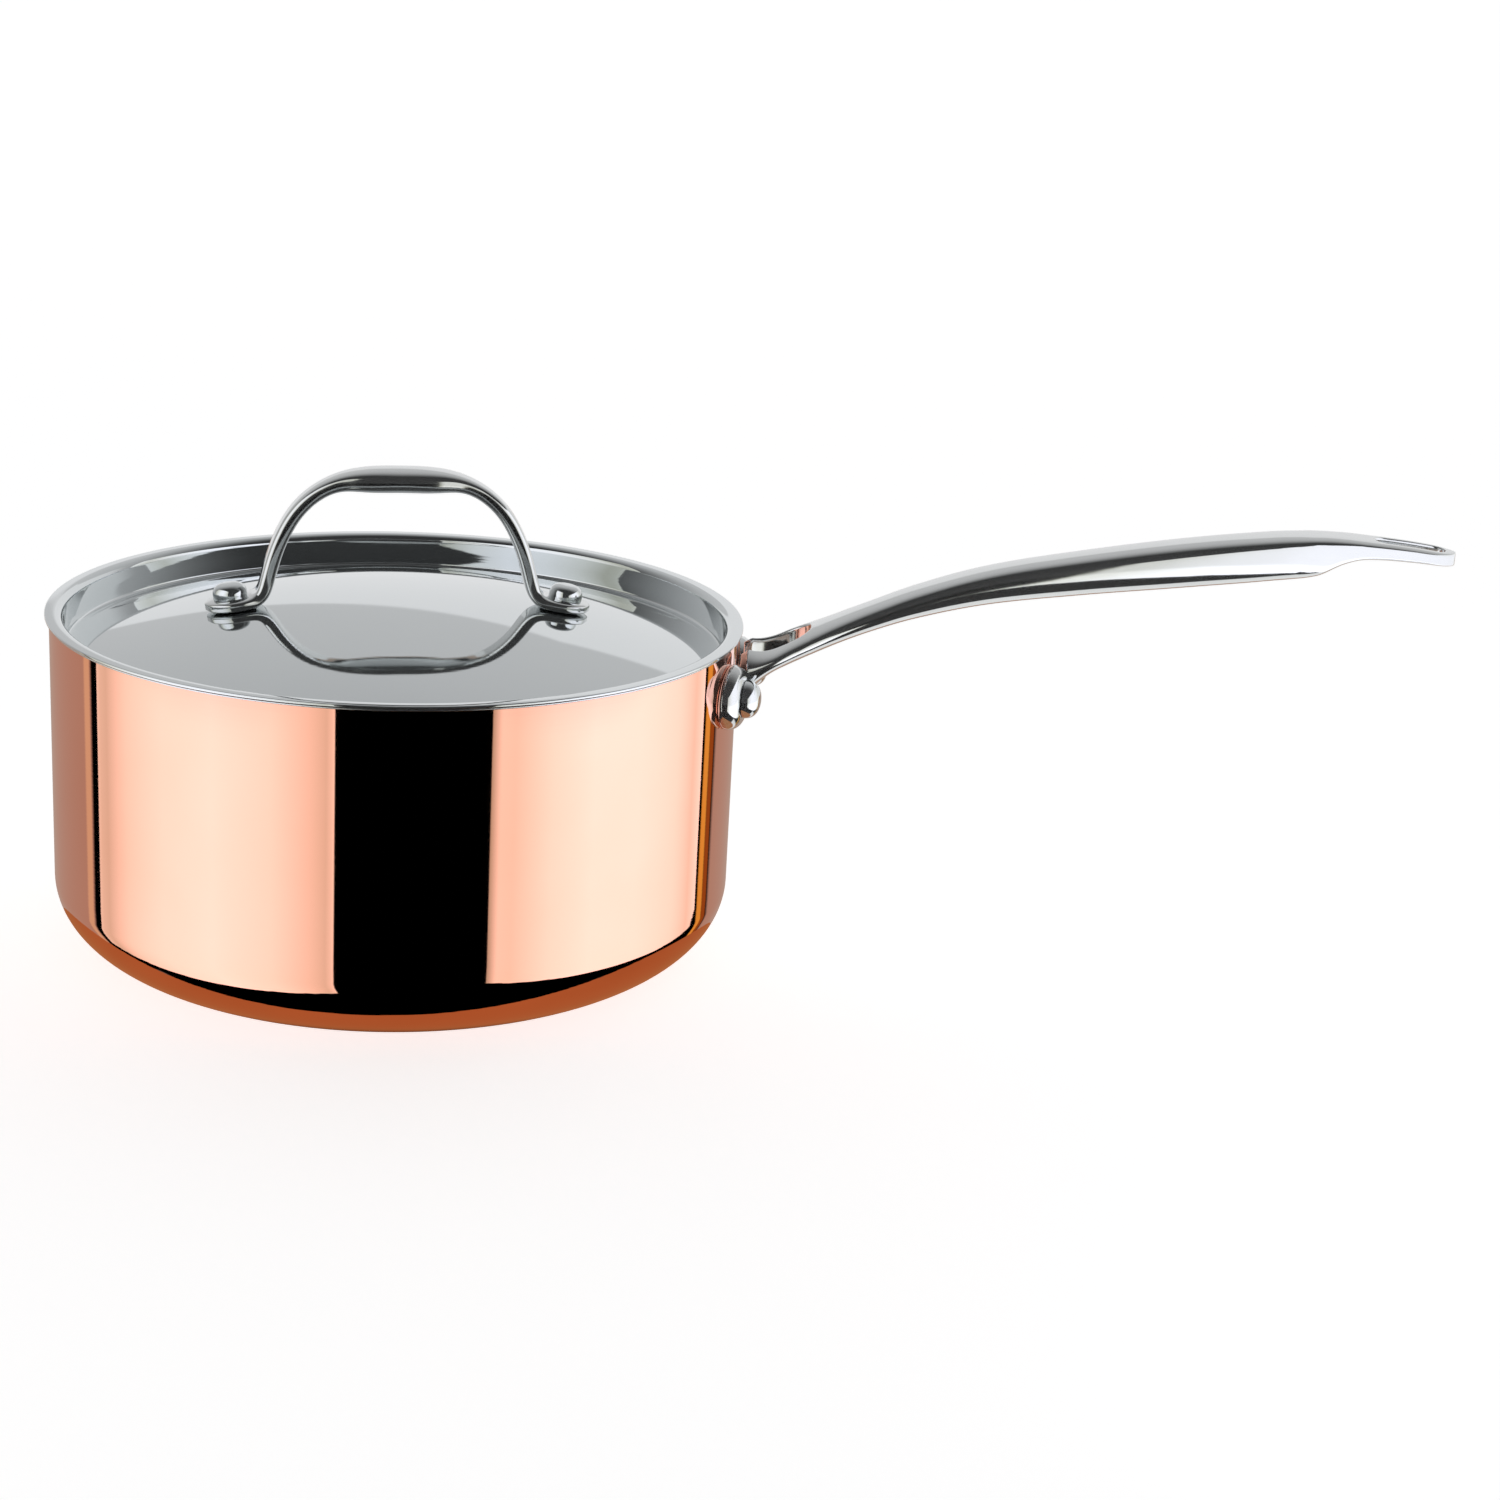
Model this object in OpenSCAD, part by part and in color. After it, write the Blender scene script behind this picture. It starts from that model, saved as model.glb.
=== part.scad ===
// Straight-sided copper saucepan with a steel lining, a forked cast handle,
// and a polished steel lid that drops inside the rim.
// Units are millimetres. The origin is the centre of the pan's underside,
// +X runs out along the long handle and +Z is up.

/* [Pan] */
// Outside diameter of the copper wall
pan_d = 197.6; // [150:0.2:260]
// Height from the base to the top of the rim
pan_h = 98.6; // [75:0.2:150]
// Thickness of the copper shell
copper_t = 1.9; // [0.8:0.1:3]
// Thickness of the steel lining
liner_t = 0.6; // [0.4:0.1:1.2]
// Width of the rounded corner between wall and base
corner_w = 28; // [15:0.5:45]
// Height of the rounded corner between wall and base
corner_h = 22; // [12:0.5:40]
// How far the lining's lip laps out past the copper
lip_over = 0.5; // [0.2:0.1:2]

/* [Long handle] */
// Reach of the handle from the wall to its tip
handle_len = 200.8; // [150:0.2:260]
// Rise of the grip above the rivets
handle_rise = 54.8; // [30:0.1:80]
// Width of the grip
grip_w = 17; // [14:0.5:26]
// Width of the open fork between the two legs
fork_w = 15.2; // [10:0.2:20]
// Length of the open fork, measured from the wall
fork_l = 21.3; // [16:0.1:35]
// Width of each leg
leg_w = 6.6; // [5:0.2:10]
// Angle of each riveted pad either side of the handle's centre
pad_turn = 9.5; // [8:0.1:16]
// Width of each pad
pad_w = 20.5; // [14:0.5:26]
// Height of each pad
pad_h = 18.6; // [16:0.2:34]
// Thickness of each pad
pad_t = 5.2; // [3:0.1:8]
// How far the top of each pad sits below the rim
pad_drop = 4.9; // [1.5:0.1:30]
// Length of the hanging slot
hang_l = 20; // [12:0.5:30]
// Width of the hanging slot
hang_w = 6.5; // [5:0.1:11]

/* [Lid] */
// How far the lid's flange reaches past the copper wall
flange_over = 1.2; // [0.8:0.1:3]
// Thickness of the lid's sheet
lid_t = 0.8; // [0.6:0.1:1.5]
// Depth of the groove below the flange
groove_h = 10; // [4:0.1:14]
// Width of the groove floor before the dome starts to rise
groove_w = 1.4; // [0.8:0.1:6]
// Rise of the dome above the groove floor
dome_h = 13.4; // [5:0.5:30]
// Turn of the lid on the pan, from the handle
lid_turn = 14.5; // [0:0.5:90]
// Distance between the lid handle's two rivets
loop_span = 95.5; // [70:0.5:110]
// Height of the lid handle above the dome where it stands
loop_h = 41.2; // [28:0.1:60]
// Width of the lid handle's bar at the middle
bar_w = 14; // [8:0.5:18]
// Thickness of the lid handle's bar at the middle
bar_t = 7; // [4:0.1:9]
// Thickness of the lid handle's feet
foot_t = 3.4; // [2.5:0.1:6]
// Width of the lid handle's feet
foot_w = 15; // [13:0.5:20]

/* [Rivets] */
// Diameter of the long handle's rivet heads
rivet_d = 11; // [9:0.5:14]
// Height of the long handle's rivet heads
rivet_h = 4.4; // [2.5:0.1:6]
// Diameter of the lid handle's rivet heads
knob_d = 9.8; // [8:0.2:12]
// Height of the lid handle's rivet heads
knob_h = 4.2; // [2:0.1:5]
// Diameter of every rivet shank
shank_d = 5; // [4:0.5:6]

/* [Fits] */
// Gap between a rivet shank and its hole
shank_gap = 0.05; // [0.02:0.01:0.2]
// Gap left between pieces that touch
seat_gap = 0.05; // [0.02:0.01:0.2]
// Gap under the lid's flange
lid_seat = 0.3; // [0.3:0.05:1]
// Gap between the lid's plug and the lining
plug_gap = 0.6; // [0.4:0.1:2]

/* [Hidden] */
$fn = 128;
pan_r = pan_d / 2;
wall_t = copper_t + liner_t;
in_r = pan_r - wall_t;
lip_t = 0.5;
rivet_z = pan_h - pad_drop - pad_h / 2;
pad_r = pan_r + pad_t;
shank_r = shank_d / 2;
hole_r = shank_r + shank_gap;
inner_head_r = rivet_d / 2 - 0.7;
inner_head_h = 1.8;

flange_top = pan_h + lid_seat + lid_t;
flange_r = pan_r + flange_over;
plug_r = in_r - plug_gap;
groove_z = flange_top - groove_h;
groove_r = plug_r - 1.1 - lid_t;
dome_r = groove_r - groove_w;
cap_r = (dome_r * dome_r + dome_h * dome_h) / (2 * dome_h);
cap_z = groove_z + dome_h - cap_r;
stand_r = loop_span / 2;
stand_z = cap_z + sqrt(cap_r * cap_r - stand_r * stand_r);
stand_tilt = asin(stand_r / cap_r);
// Thickness and width of the lid handle's legs, and how far they stand inside the feet.
leg_t = 3.8;
leg_out = 1.0;
loop_leg_w = 8.6;

// Outline of the pan, shrunk inwards by d, from the axis out to height top.
function shell_edge(d, top) = concat(
    [[0, d]],
    [for (i = [0:12]) let (a = i * 7.5)
        [pan_r - corner_w + (corner_w - d) * sin(a),
         corner_h - (corner_h - d) * cos(a)]],
    [[pan_r - d, top]]);

function reversed(list) = [for (i = [len(list) - 1:-1:0]) list[i]];

// Smooth value of column c of a table at x; the table's first column is x.
function slope(t, c, i) =
    i == 0 ? (t[1][c] - t[0][c]) / (t[1][0] - t[0][0]) :
    i == len(t) - 1 ? (t[i][c] - t[i - 1][c]) / (t[i][0] - t[i - 1][0]) :
    (t[i + 1][c] - t[i - 1][c]) / (t[i + 1][0] - t[i - 1][0]);
function span(t, x, i = 0) = i >= len(t) - 2 || x <= t[i + 1][0] ? i : span(t, x, i + 1);
function smooth(t, c, x) =
    let (i = span(t, x), w = t[i + 1][0] - t[i][0], u = (x - t[i][0]) / w)
    (2 * u * u * u - 3 * u * u + 1) * t[i][c]
    + (u * u * u - 2 * u * u + u) * w * slope(t, c, i)
    + (3 * u * u - 2 * u * u * u) * t[i + 1][c]
    + (u * u * u - u * u) * w * slope(t, c, i + 1);

// Handle stations: share of the reach, share of the rise, thickness.
grip_line = [[0.00, 0.118, 6.4], [0.06, 0.255, 7.8], [0.12, 0.363, 7.8],
             [0.18, 0.466, 8.0], [0.25, 0.579, 8.9], [0.35, 0.706, 10.4],
             [0.475, 0.814, 12.0], [0.625, 0.920, 13.4], [0.75, 0.985, 13.1],
             [0.808, 1.00, 11.6], [0.842, 1.00, 7.6], [0.87, 0.995, 5.4],
             [0.935, 0.978, 4.3], [1.00, 0.951, 3.7]];
// Handle half widths along the same reach.
fork_half = fork_w / 2 + leg_w;
grip_width = [[0.00, fork_half], [0.055, fork_half - 0.2], [0.09, fork_half * 0.86],
              [0.14, grip_w * 0.56], [0.20, grip_w / 2], [0.75, grip_w / 2],
              [0.84, grip_w * 0.46], [0.90, grip_w * 0.44], [0.955, grip_w * 0.43]];
// Shares of the reach at which the handle is drawn.
grip_steps = [for (i = [0:44]) i / 44];

function grip_top(u) = rivet_z + handle_rise * smooth(grip_line, 1, u);
function grip_low(u) = grip_top(u) - smooth(grip_line, 2, u);

module radial(turn, z) {
    rotate([0, 0, turn]) translate([0, 0, z]) rotate([0, 90, 0]) children();
}

// Position on the dome under the lid handle's foot; side is -1 or 1.
module on_dome(side) {
    rotate([0, 0, lid_turn]) translate([side * stand_r, 0, stand_z])
        rotate([0, side * stand_tilt, 0]) children();
}

module wall_holes() {
    for (s = [-1, 1]) radial(s * pad_turn, rivet_z)
        translate([0, 0, in_r - 6]) cylinder(r = hole_r, h = wall_t + pad_t + 12, $fn = 48);
}

module copper_shell() {
    top = pan_h - lip_t;
    color([0.83, 0.46, 0.31]) difference() {
        rotate_extrude() polygon(concat(
            shell_edge(0, top), reversed(shell_edge(copper_t, top))));
        wall_holes();
    }
}

module steel_liner() {
    color([0.78, 0.79, 0.8]) difference() {
        rotate_extrude() polygon(concat(
            shell_edge(copper_t, pan_h - lip_t),
            [[pan_r + lip_over, pan_h - lip_t], [pan_r + lip_over, pan_h]],
            reversed(shell_edge(wall_t, pan_h))));
        wall_holes();
    }
}

module handle_side() {
    polygon(concat(
        [for (u = grip_steps) [pan_r + handle_len * u, grip_top(u)]],
        reversed([for (u = grip_steps) [pan_r + handle_len * u, grip_low(u)]])));
}

module handle_plan() {
    tip_r = grip_w * 0.43;
    tip_u = 1 - tip_r / handle_len;
    rim = [for (i = [0:40]) let (u = tip_u * i / 40)
        [pan_r + handle_len * u, smooth(grip_width, 1, u)]];
    polygon(concat(rim, reversed([for (p = rim) [p[0], -p[1]]])));
    translate([pan_r + handle_len - tip_r, 0]) circle(r = tip_r, $fn = 48);
}

module fork_cut() {
    end_x = pan_r + fork_l - fork_w / 2;
    translate([end_x, 0, -1]) cylinder(r = fork_w / 2, h = 400, $fn = 64);
    translate([pan_r - 10, -fork_w / 2, -1]) cube([end_x - pan_r + 10, fork_w, 400]);
}

module hang_cut() {
    far = pan_r + handle_len - 2.8 - hang_w / 2;
    near = far - hang_l + hang_w;
    for (x = [near, far]) translate([x, 0, -1]) cylinder(r = hang_w / 2, h = 400, $fn = 48);
    translate([near, -hang_w / 2, -1]) cube([far - near, hang_w, 400]);
}

module pad(turn) {
    intersection() {
        difference() {
            translate([0, 0, rivet_z - pad_h]) cylinder(r = pad_r, h = 2 * pad_h);
            translate([0, 0, rivet_z - pad_h - 1]) cylinder(r = pan_r + seat_gap, h = 2 * pad_h + 2);
        }
        radial(turn, rivet_z) translate([0, 0, pan_r - 20]) linear_extrude(height = 40)
            scale([pad_h / pad_w, 1]) circle(r = pad_w / 2, $fn = 64);
    }
}

// Flat seats cut into the legs' feet, so the rivet heads go on square.
module head_seats() {
    for (s = [-1, 1]) radial(s * pad_turn, rivet_z)
        translate([0, 0, pad_r]) cylinder(r = rivet_d / 2 + 2 * seat_gap, h = rivet_h + 12, $fn = 64);
}

module long_handle() {
    color([0.76, 0.77, 0.78]) difference() {
        union() {
            difference() {
                intersection() {
                    rotate([90, 0, 0]) linear_extrude(height = 80, center = true) handle_side();
                    linear_extrude(height = 400) handle_plan();
                }
                fork_cut();
                hang_cut();
            }
            for (s = [-1, 1]) pad(s * pad_turn);
        }
        translate([0, 0, -1]) cylinder(r = pan_r + seat_gap, h = 400);
        wall_holes();
        head_seats();
    }
}

module handle_rivet(turn) {
    in_x = sqrt(in_r * in_r - inner_head_r * inner_head_r) - seat_gap;
    out_x = pad_r + seat_gap;
    r = rivet_d / 2;
    color([0.8, 0.81, 0.82]) radial(turn, rivet_z) rotate_extrude($fn = 64) polygon([
        [0, in_x - inner_head_h], [inner_head_r * 0.72, in_x - inner_head_h],
        [inner_head_r, in_x - inner_head_h * 0.5], [inner_head_r, in_x],
        [shank_r, in_x], [shank_r, out_x], [r, out_x],
        [r, out_x + rivet_h * 0.22], [r * 0.93, out_x + rivet_h * 0.5],
        [r * 0.74, out_x + rivet_h * 0.78], [r * 0.42, out_x + rivet_h * 0.95],
        [0, out_x + rivet_h]]);
}

module handle_rivet_front() { handle_rivet(-pad_turn); }

module handle_rivet_back() { handle_rivet(pad_turn); }

// Cut through the foot, the lid and a little beyond for one rivet shank.
module lid_holes() {
    for (s = [-1, 1]) on_dome(s) translate([0, 0, -8])
        cylinder(r = hole_r, h = foot_t + 16, $fn = 48);
}

module lid() {
    cap = [for (i = [0:18]) let (a = asin(dome_r / cap_r) * i / 18)
        [sin(a), cos(a)]];
    upper = concat(
        [for (p = cap) [cap_r * p[0], cap_z + cap_r * p[1]]],
        [[groove_r, groove_z], [groove_r + 0.9, groove_z + 0.8],
         [plug_r - lid_t, flange_top - 0.8], [plug_r - lid_t + 0.6, flange_top - 0.1],
         [plug_r + 0.3, flange_top], [flange_r, flange_top]]);
    lower = concat(
        [for (p = cap) [(cap_r - lid_t) * p[0], cap_z + (cap_r - lid_t) * p[1]]],
        [[groove_r, groove_z - lid_t], [groove_r + 0.9 + lid_t, groove_z],
         [plug_r, flange_top - lid_t - 0.6], [plug_r + 0.3, flange_top - lid_t],
         [flange_r, flange_top - lid_t]]);
    color([0.8, 0.81, 0.82]) difference() {
        rotate_extrude() polygon(concat(upper, reversed(lower)));
        lid_holes();
    }
}

// Thickness of the arch at a distance x from its middle: thick where it is held.
function arch_t(x) = leg_t + (bar_t - leg_t) * exp(-pow(x / (stand_r * 0.25), 4));

// Outer outline of the arch, half span a and height b, from one foot to the other.
function arch(a, b) = [for (i = [0:60]) let (t = 3 * i, c = cos(t), s = sin(t))
    [sign(c) * a * pow(abs(c), 0.75), b * pow(s, 0.75)]];

module loop_side() {
    a = stand_r - foot_w / 2 - leg_out;
    outer = arch(a, loop_h + 4);
    inner = [for (p = outer) let (k = 1 - arch_t(p[0]) / norm(p)) p * k];
    translate([0, stand_z - 4]) difference() {
        polygon(concat(outer, [[-a, -1], [a, -1]]));
        polygon(concat(inner, [[leg_t - a, -2], [a - leg_t, -2]]));
    }
}

module loop_plan() {
    w = bar_w / 2;
    n = loop_leg_w / 2;
    rim = [[0, w], [0.10, w - 0.2], [0.19, w * 0.82], [0.29, n + 0.5], [0.42, n - 0.2],
           [0.6, n - 0.1], [0.75, n], [1, n]];
    right = [for (p = rim) [p[0] * stand_r, p[1]]];
    polygon(concat(right, reversed([for (p = right) [p[0], -p[1]]])));
    mirror([1, 0]) polygon(concat(right, reversed([for (p = right) [p[0], -p[1]]])));
}

module foot(side) {
    r = foot_w / 2;
    on_dome(side) translate([0, 0, -1]) linear_extrude(height = foot_t + 1) union() {
        circle(r = r, $fn = 48);
        translate([side > 0 ? -r - 5 : 0, -r * 0.72]) square([r + 5, r * 1.44]);
    }
}

module lid_handle() {
    color([0.76, 0.77, 0.78]) difference() {
        union() {
            rotate([0, 0, lid_turn]) intersection() {
                rotate([90, 0, 0]) linear_extrude(height = 60, center = true) loop_side();
                linear_extrude(height = 400) loop_plan();
            }
            foot(-1);
            foot(1);
        }
        translate([0, 0, cap_z]) sphere(r = cap_r + seat_gap);
        lid_holes();
    }
}

module lid_rivet(side) {
    top = foot_t + seat_gap;
    low = -lid_t - seat_gap;
    r = knob_d / 2;
    color([0.8, 0.81, 0.82]) on_dome(side) rotate_extrude($fn = 64) polygon([
        [0, low - 1.4], [r * 0.6, low - 1.4], [r * 0.85, low - 0.7], [r * 0.85, low],
        [shank_r, low], [shank_r, top], [r, top], [r, top + knob_h * 0.45],
        [r * 0.9, top + knob_h * 0.75], [r * 0.6, top + knob_h * 0.93],
        [0, top + knob_h]]);
}

module lid_rivet_left() { lid_rivet(-1); }

module lid_rivet_right() { lid_rivet(1); }

copper_shell();
steel_liner();
long_handle();
handle_rivet_front();
handle_rivet_back();
lid();
lid_handle();
lid_rivet_left();
lid_rivet_right();
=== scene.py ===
# %% [markdown]
# A copper saucepan with a steel lining and a polished lid, built as surfaces.
# Every size below is in millimetres, as a cookware maker would quote it, and
# is turned into metres only when a mesh is made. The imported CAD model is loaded
# first: it is the fixed frame, and each surface stands exactly where its CAD
# node stands, so the joints still move the right pieces.

# %% Load the frame
import math

import bpy
import bmesh
import numpy as np
from mathutils import Matrix, Vector


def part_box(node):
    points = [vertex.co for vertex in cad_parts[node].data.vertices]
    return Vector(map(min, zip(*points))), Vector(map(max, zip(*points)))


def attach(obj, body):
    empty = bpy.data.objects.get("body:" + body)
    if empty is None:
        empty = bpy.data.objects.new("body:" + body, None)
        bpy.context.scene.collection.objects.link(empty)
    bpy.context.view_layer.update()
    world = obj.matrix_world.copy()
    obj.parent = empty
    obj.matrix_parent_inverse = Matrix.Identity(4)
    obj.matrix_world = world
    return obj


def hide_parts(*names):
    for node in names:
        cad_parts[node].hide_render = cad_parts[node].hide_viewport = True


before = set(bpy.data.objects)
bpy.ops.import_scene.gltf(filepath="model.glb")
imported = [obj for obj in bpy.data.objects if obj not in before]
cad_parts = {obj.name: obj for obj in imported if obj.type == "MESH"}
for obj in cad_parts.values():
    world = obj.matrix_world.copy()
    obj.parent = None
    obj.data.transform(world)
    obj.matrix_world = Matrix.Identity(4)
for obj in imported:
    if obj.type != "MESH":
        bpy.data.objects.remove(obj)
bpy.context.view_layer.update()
MM = 0.001

# %% [markdown]
# Sizes that both models share are read from the boxes of the CAD nodes and not
# typed again, so the two can't drift apart.

# %% Sizes read from the CAD model
shell_high, lid_high, handle_high, liner_high = (
    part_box(node)[1] for node in ("copper_shell", "lid", "long_handle", "steel_liner"))

PAN_R = shell_high.x / MM
PAN_H = liner_high.z / MM
FLANGE_R = lid_high.x / MM
GRIP_END = handle_high.x / MM
print(f"wall radius {PAN_R:.2f}, rim height {PAN_H:.2f}, flange radius {FLANGE_R:.2f}")

# %% [markdown]
# The rest are the maker's own choices: how thick the sheets are, how far the
# lip laps over, where the rivets sit. Most repeat the CAD model's values. A few
# parts of the handle and the loop are drawn fuller than the CAD has them.

# %% Sizes that the maker chooses
COPPER_T, LINER_T, LIP_T = 1.9, 0.6, 0.5
LIP_LAP, LIP_DOWN = 0.5, 2.0
CORNER_W, CORNER_H = 28.0, 22.0
IN_R = PAN_R - COPPER_T - LINER_T
LID_T, LID_GAP = 0.8, 0.3
LID_Z = PAN_H + (LID_T + LID_GAP)
SEAT_GAP, SHANK_R = 0.05, 2.5
PAD_TURN, PAD_W, PAD_H, PAD_T, PAD_DROP = 9.5, 20.5, 18.6, 5.2, 4.9
RIVET_Z = PAN_H - PAD_DROP - PAD_H / 2
GRIP_LEN, GRIP_RISE = GRIP_END - PAN_R, 54.8
LID_TURN, LOOP_SPAN = 14.5, 95.5
print(f"inner radius {IN_R:.2f}, lid's upper face at {LID_Z:.2f}, rivets at {RIVET_Z:.2f}")

# %% [markdown]
# The camera comes first, because it decides how large a facet may be before
# it shows. It stands about 0.8 m away, looks down on the lid by 17 degrees,
# and leans a little to one side, as a hand-levelled tripod does.

# %% Camera
def camera_at(lens, stand, look, turn, lean):
    """Camera looking along (0, cos look, -sin look), rolled by lean about that line,
    and then carried round the pan's axis by turn, all in degrees."""
    look, lean, turn = (math.radians(v) for v in (look, lean, turn))
    forward = Vector((0, math.cos(look), -math.sin(look)))
    right = Vector((1, 0, 0))
    up = right.cross(forward)
    tilted = right * math.cos(lean) + up * math.sin(lean)
    top = up * math.cos(lean) - right * math.sin(lean)
    place = Matrix((tilted, top, -forward)).transposed().to_4x4()
    place.translation = Vector(stand) * MM
    data = bpy.data.cameras.new("camera")
    data.lens, data.sensor_width = lens, 36.0
    data.clip_start, data.clip_end = 0.01, 100.0
    cam = bpy.data.objects.new("camera", data)
    bpy.context.scene.collection.objects.link(cam)
    cam.matrix_world = Matrix.Rotation(turn, 4, "Z") @ place
    bpy.context.scene.camera = cam
    return cam


VIEW_TURN = 2.5
camera = camera_at(lens=65.19, stand=(103.9, -764.1, 299.5), look=17.225,
                   turn=VIEW_TURN, lean=3.167)
print("camera at", [round(v, 3) for v in camera.matrix_world.translation])

# %% [markdown]
# A shader is sums on numbers that change over a surface. Wrapping a socket in
# a small class lets those sums be written the way they are said.

# %% Shader sums
class Wire:
    """One socket of a node tree. Adding, multiplying and so on add Math nodes."""

    def __init__(self, tree, socket):
        self.tree, self.socket = tree, socket

    def node(self, kind, inputs=(), out=0, **settings):
        return add_node(self.tree, kind, inputs, out, **settings)

    def sum(self, operation, *values):
        return self.node("ShaderNodeMath", dict(enumerate(values)), operation=operation)

    def __add__(self, o): return self.sum("ADD", self, o)
    def __radd__(self, o): return self.sum("ADD", o, self)
    def __sub__(self, o): return self.sum("SUBTRACT", self, o)
    def __rsub__(self, o): return self.sum("SUBTRACT", o, self)
    def __mul__(self, o): return self.sum("MULTIPLY", self, o)
    def __rmul__(self, o): return self.sum("MULTIPLY", o, self)
    def __pow__(self, o): return self.sum("POWER", self, o)

    def ease(self, low, high, start=0.0, end=1.0):
        """Goes smoothly from start to end as the wire goes from low to high."""
        return self.node("ShaderNodeMapRange", {0: self, 1: low, 2: high, 3: start, 4: end},
                         interpolation_type="SMOOTHSTEP")

    def mix(self, a, b):
        """Colour a where the wire is 0 and colour b where it is 1."""
        return self.node("ShaderNodeMix", {0: self, 6: a, 7: b}, out=2, data_type="RGBA")


# %% [markdown]
# Every node is made by one function, so a shader reads as a list of what it
# needs: the kind of node, its settings, and what goes into each socket.

# %% One way to add a node
def add_node(tree, kind, inputs=(), out=0, **settings):
    """Adds a node, sets its settings, then fills its inputs with values or wires."""
    made = tree.nodes.new(kind)
    stops = settings.pop("stops", None)
    for key, value in settings.items():
        setattr(made, key, value)
    if stops:
        ramp = made.color_ramp.elements
        while len(ramp) < len(stops):
            ramp.new(0.5)
        for stop, (at, colour) in zip(ramp, stops):
            stop.position, stop.color = at, colour
    for key, value in dict(inputs).items():
        if isinstance(value, Wire):
            tree.links.new(value.socket, made.inputs[key])
        elif hasattr(value, "__len__") and len(value) == 3 and made.inputs[key].type == "RGBA":
            made.inputs[key].default_value = (*value, 1)
        else:
            made.inputs[key].default_value = value
    return Wire(tree, made.outputs[out])


# %% [markdown]
# Patterns are laid out in Object coordinates, which stay with a piece when it
# moves. These helpers give the places that the finishes below are drawn on.

# %% Places and patterns
def along(tree, axes=(1, 1, 1)):
    """Object coordinates scaled along each axis, so a pattern can run one way."""
    place = add_node(tree, "ShaderNodeTexCoord", out="Object")
    return place.node("ShaderNodeMapping", {"Vector": place, "Scale": axes})


def split(place):
    """The three numbers of a place or a direction, each as its own wire."""
    parts = place.tree.nodes.new("ShaderNodeSeparateXYZ")
    place.tree.links.new(place.socket, parts.inputs[0])
    return [Wire(place.tree, socket) for socket in parts.outputs]


def noise(place, scale, detail=2.0, rough=0.5):
    return place.node("ShaderNodeTexNoise", {"Vector": place, "Scale": scale, "Detail": detail,
                                             "Roughness": rough})


def round_and_height(tree):
    """Distance from the pan's axis and height, both in metres."""
    x, y, z = split(add_node(tree, "ShaderNodeTexCoord", out="Object"))
    return (x * x + y * y) ** 0.5, z


def vector(tree, x, y, z):
    return add_node(tree, "ShaderNodeCombineXYZ", {0: x, 1: y, 2: z})


def metal(name, metallic=1.0):
    """An empty metal: returns its material, tree and Principled shader."""
    made = bpy.data.materials.new(name)
    made.use_nodes = True
    tree = made.node_tree
    shader = tree.nodes["Principled BSDF"]
    shader.inputs["Metallic"].default_value = metallic
    return made, tree, shader


def feed(tree, shader, name, value):
    """Links a wire to a shader's socket, or sets a plain value on it."""
    if isinstance(value, Wire):
        tree.links.new(value.socket, shader.inputs[name])
    else:
        shader.inputs[name].default_value = value


def bump(tree, height, strength, distance):
    """Turns a height into small tilts of the surface; distance is in metres."""
    return add_node(tree, "ShaderNodeBump", {"Height": height, "Strength": strength,
                                             "Distance": distance})

# %% [markdown]
# Copper. A mirror polish on a spun wall leaves hair-fine lines that run round
# the pan and a few faint cloudy patches where the buffing wheel dwelt, and the
# colour is made slightly warmer towards the base. All three stay very weak, or
# the wall stops looking like a mirror.

# %% Copper
def copper_polish():
    """Copper whose colour and gloss drift with clouds, fine lines, wear and height."""
    made, tree, shader = metal("polished_copper")
    ring, height = round_and_height(tree)
    clouds = noise(along(tree), 14, 3, 0.55)
    lines = noise(vector(tree, ring * 3.0, 0.0, height), 1500, 2, 0.6)
    wear = noise(along(tree, (1, 1, 2.5)), 60, 4, 0.6)
    warm = height.ease(0.002, 0.03, 1.0, 0.0)
    tone = clouds.ease(0.35, 0.75).mix((0.955, 0.482, 0.365), (0.94, 0.46, 0.34))
    feed(tree, shader, "Base Color", (warm * 0.4).mix(tone, (0.93, 0.43, 0.27)))
    feed(tree, shader, "Roughness", 0.018 + clouds * 0.02 + wear.ease(0.62, 0.8) * 0.04)
    feed(tree, shader, "Normal", bump(tree, lines, 0.02, 0.0002))
    return made


copper = copper_polish()
print("material:", copper.name)

# %% [markdown]
# Steel comes in four finishes here: the lid is buffed sheet, the handles are
# polished castings whose surface is never perfectly flat, the rivets are cold
# headed and tumbled, and the lining is spun and left satin inside. Metallic a
# little below one adds a trace of pale sheen, which lifts the darkest
# reflections: a choice of look, not a measured value.

# %% Steel finishes
STEEL = (0.722, 0.752, 0.760)


def cast_polish():
    """Steel with slow swells and a hazy grain, for the two castings."""
    made, tree, shader = metal("polished_casting", 0.93)
    swell = noise(along(tree), 55, 2, 0.5)
    haze = noise(along(tree, (0.4, 1, 1)), 160, 3, 0.6)
    fine = noise(along(tree, (0.15, 1, 1)), 2600, 2, 0.6)
    feed(tree, shader, "Base Color", haze.mix((0.735, 0.752, 0.75), (0.68, 0.698, 0.697)))
    feed(tree, shader, "Roughness", 0.06 + haze * 0.05)
    feed(tree, shader, "Normal", bump(tree, swell * 0.8 + fine * 0.02, 0.12, 0.0006))
    return made


def sheet_polish():
    """Nearly flawless steel with hair lines round the axis, for the lid."""
    made, tree, shader = metal("buffed_sheet", 0.95)
    ring, height = round_and_height(tree)
    lines = noise(vector(tree, ring, 0.0, height), 2200, 2, 0.6)
    clouds = noise(along(tree), 18, 3, 0.55)
    feed(tree, shader, "Base Color", clouds.mix(STEEL, (0.685, 0.714, 0.722)))
    feed(tree, shader, "Roughness", 0.02 + clouds * 0.03)
    feed(tree, shader, "Normal", bump(tree, lines, 0.015, 0.0002))
    return made


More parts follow.
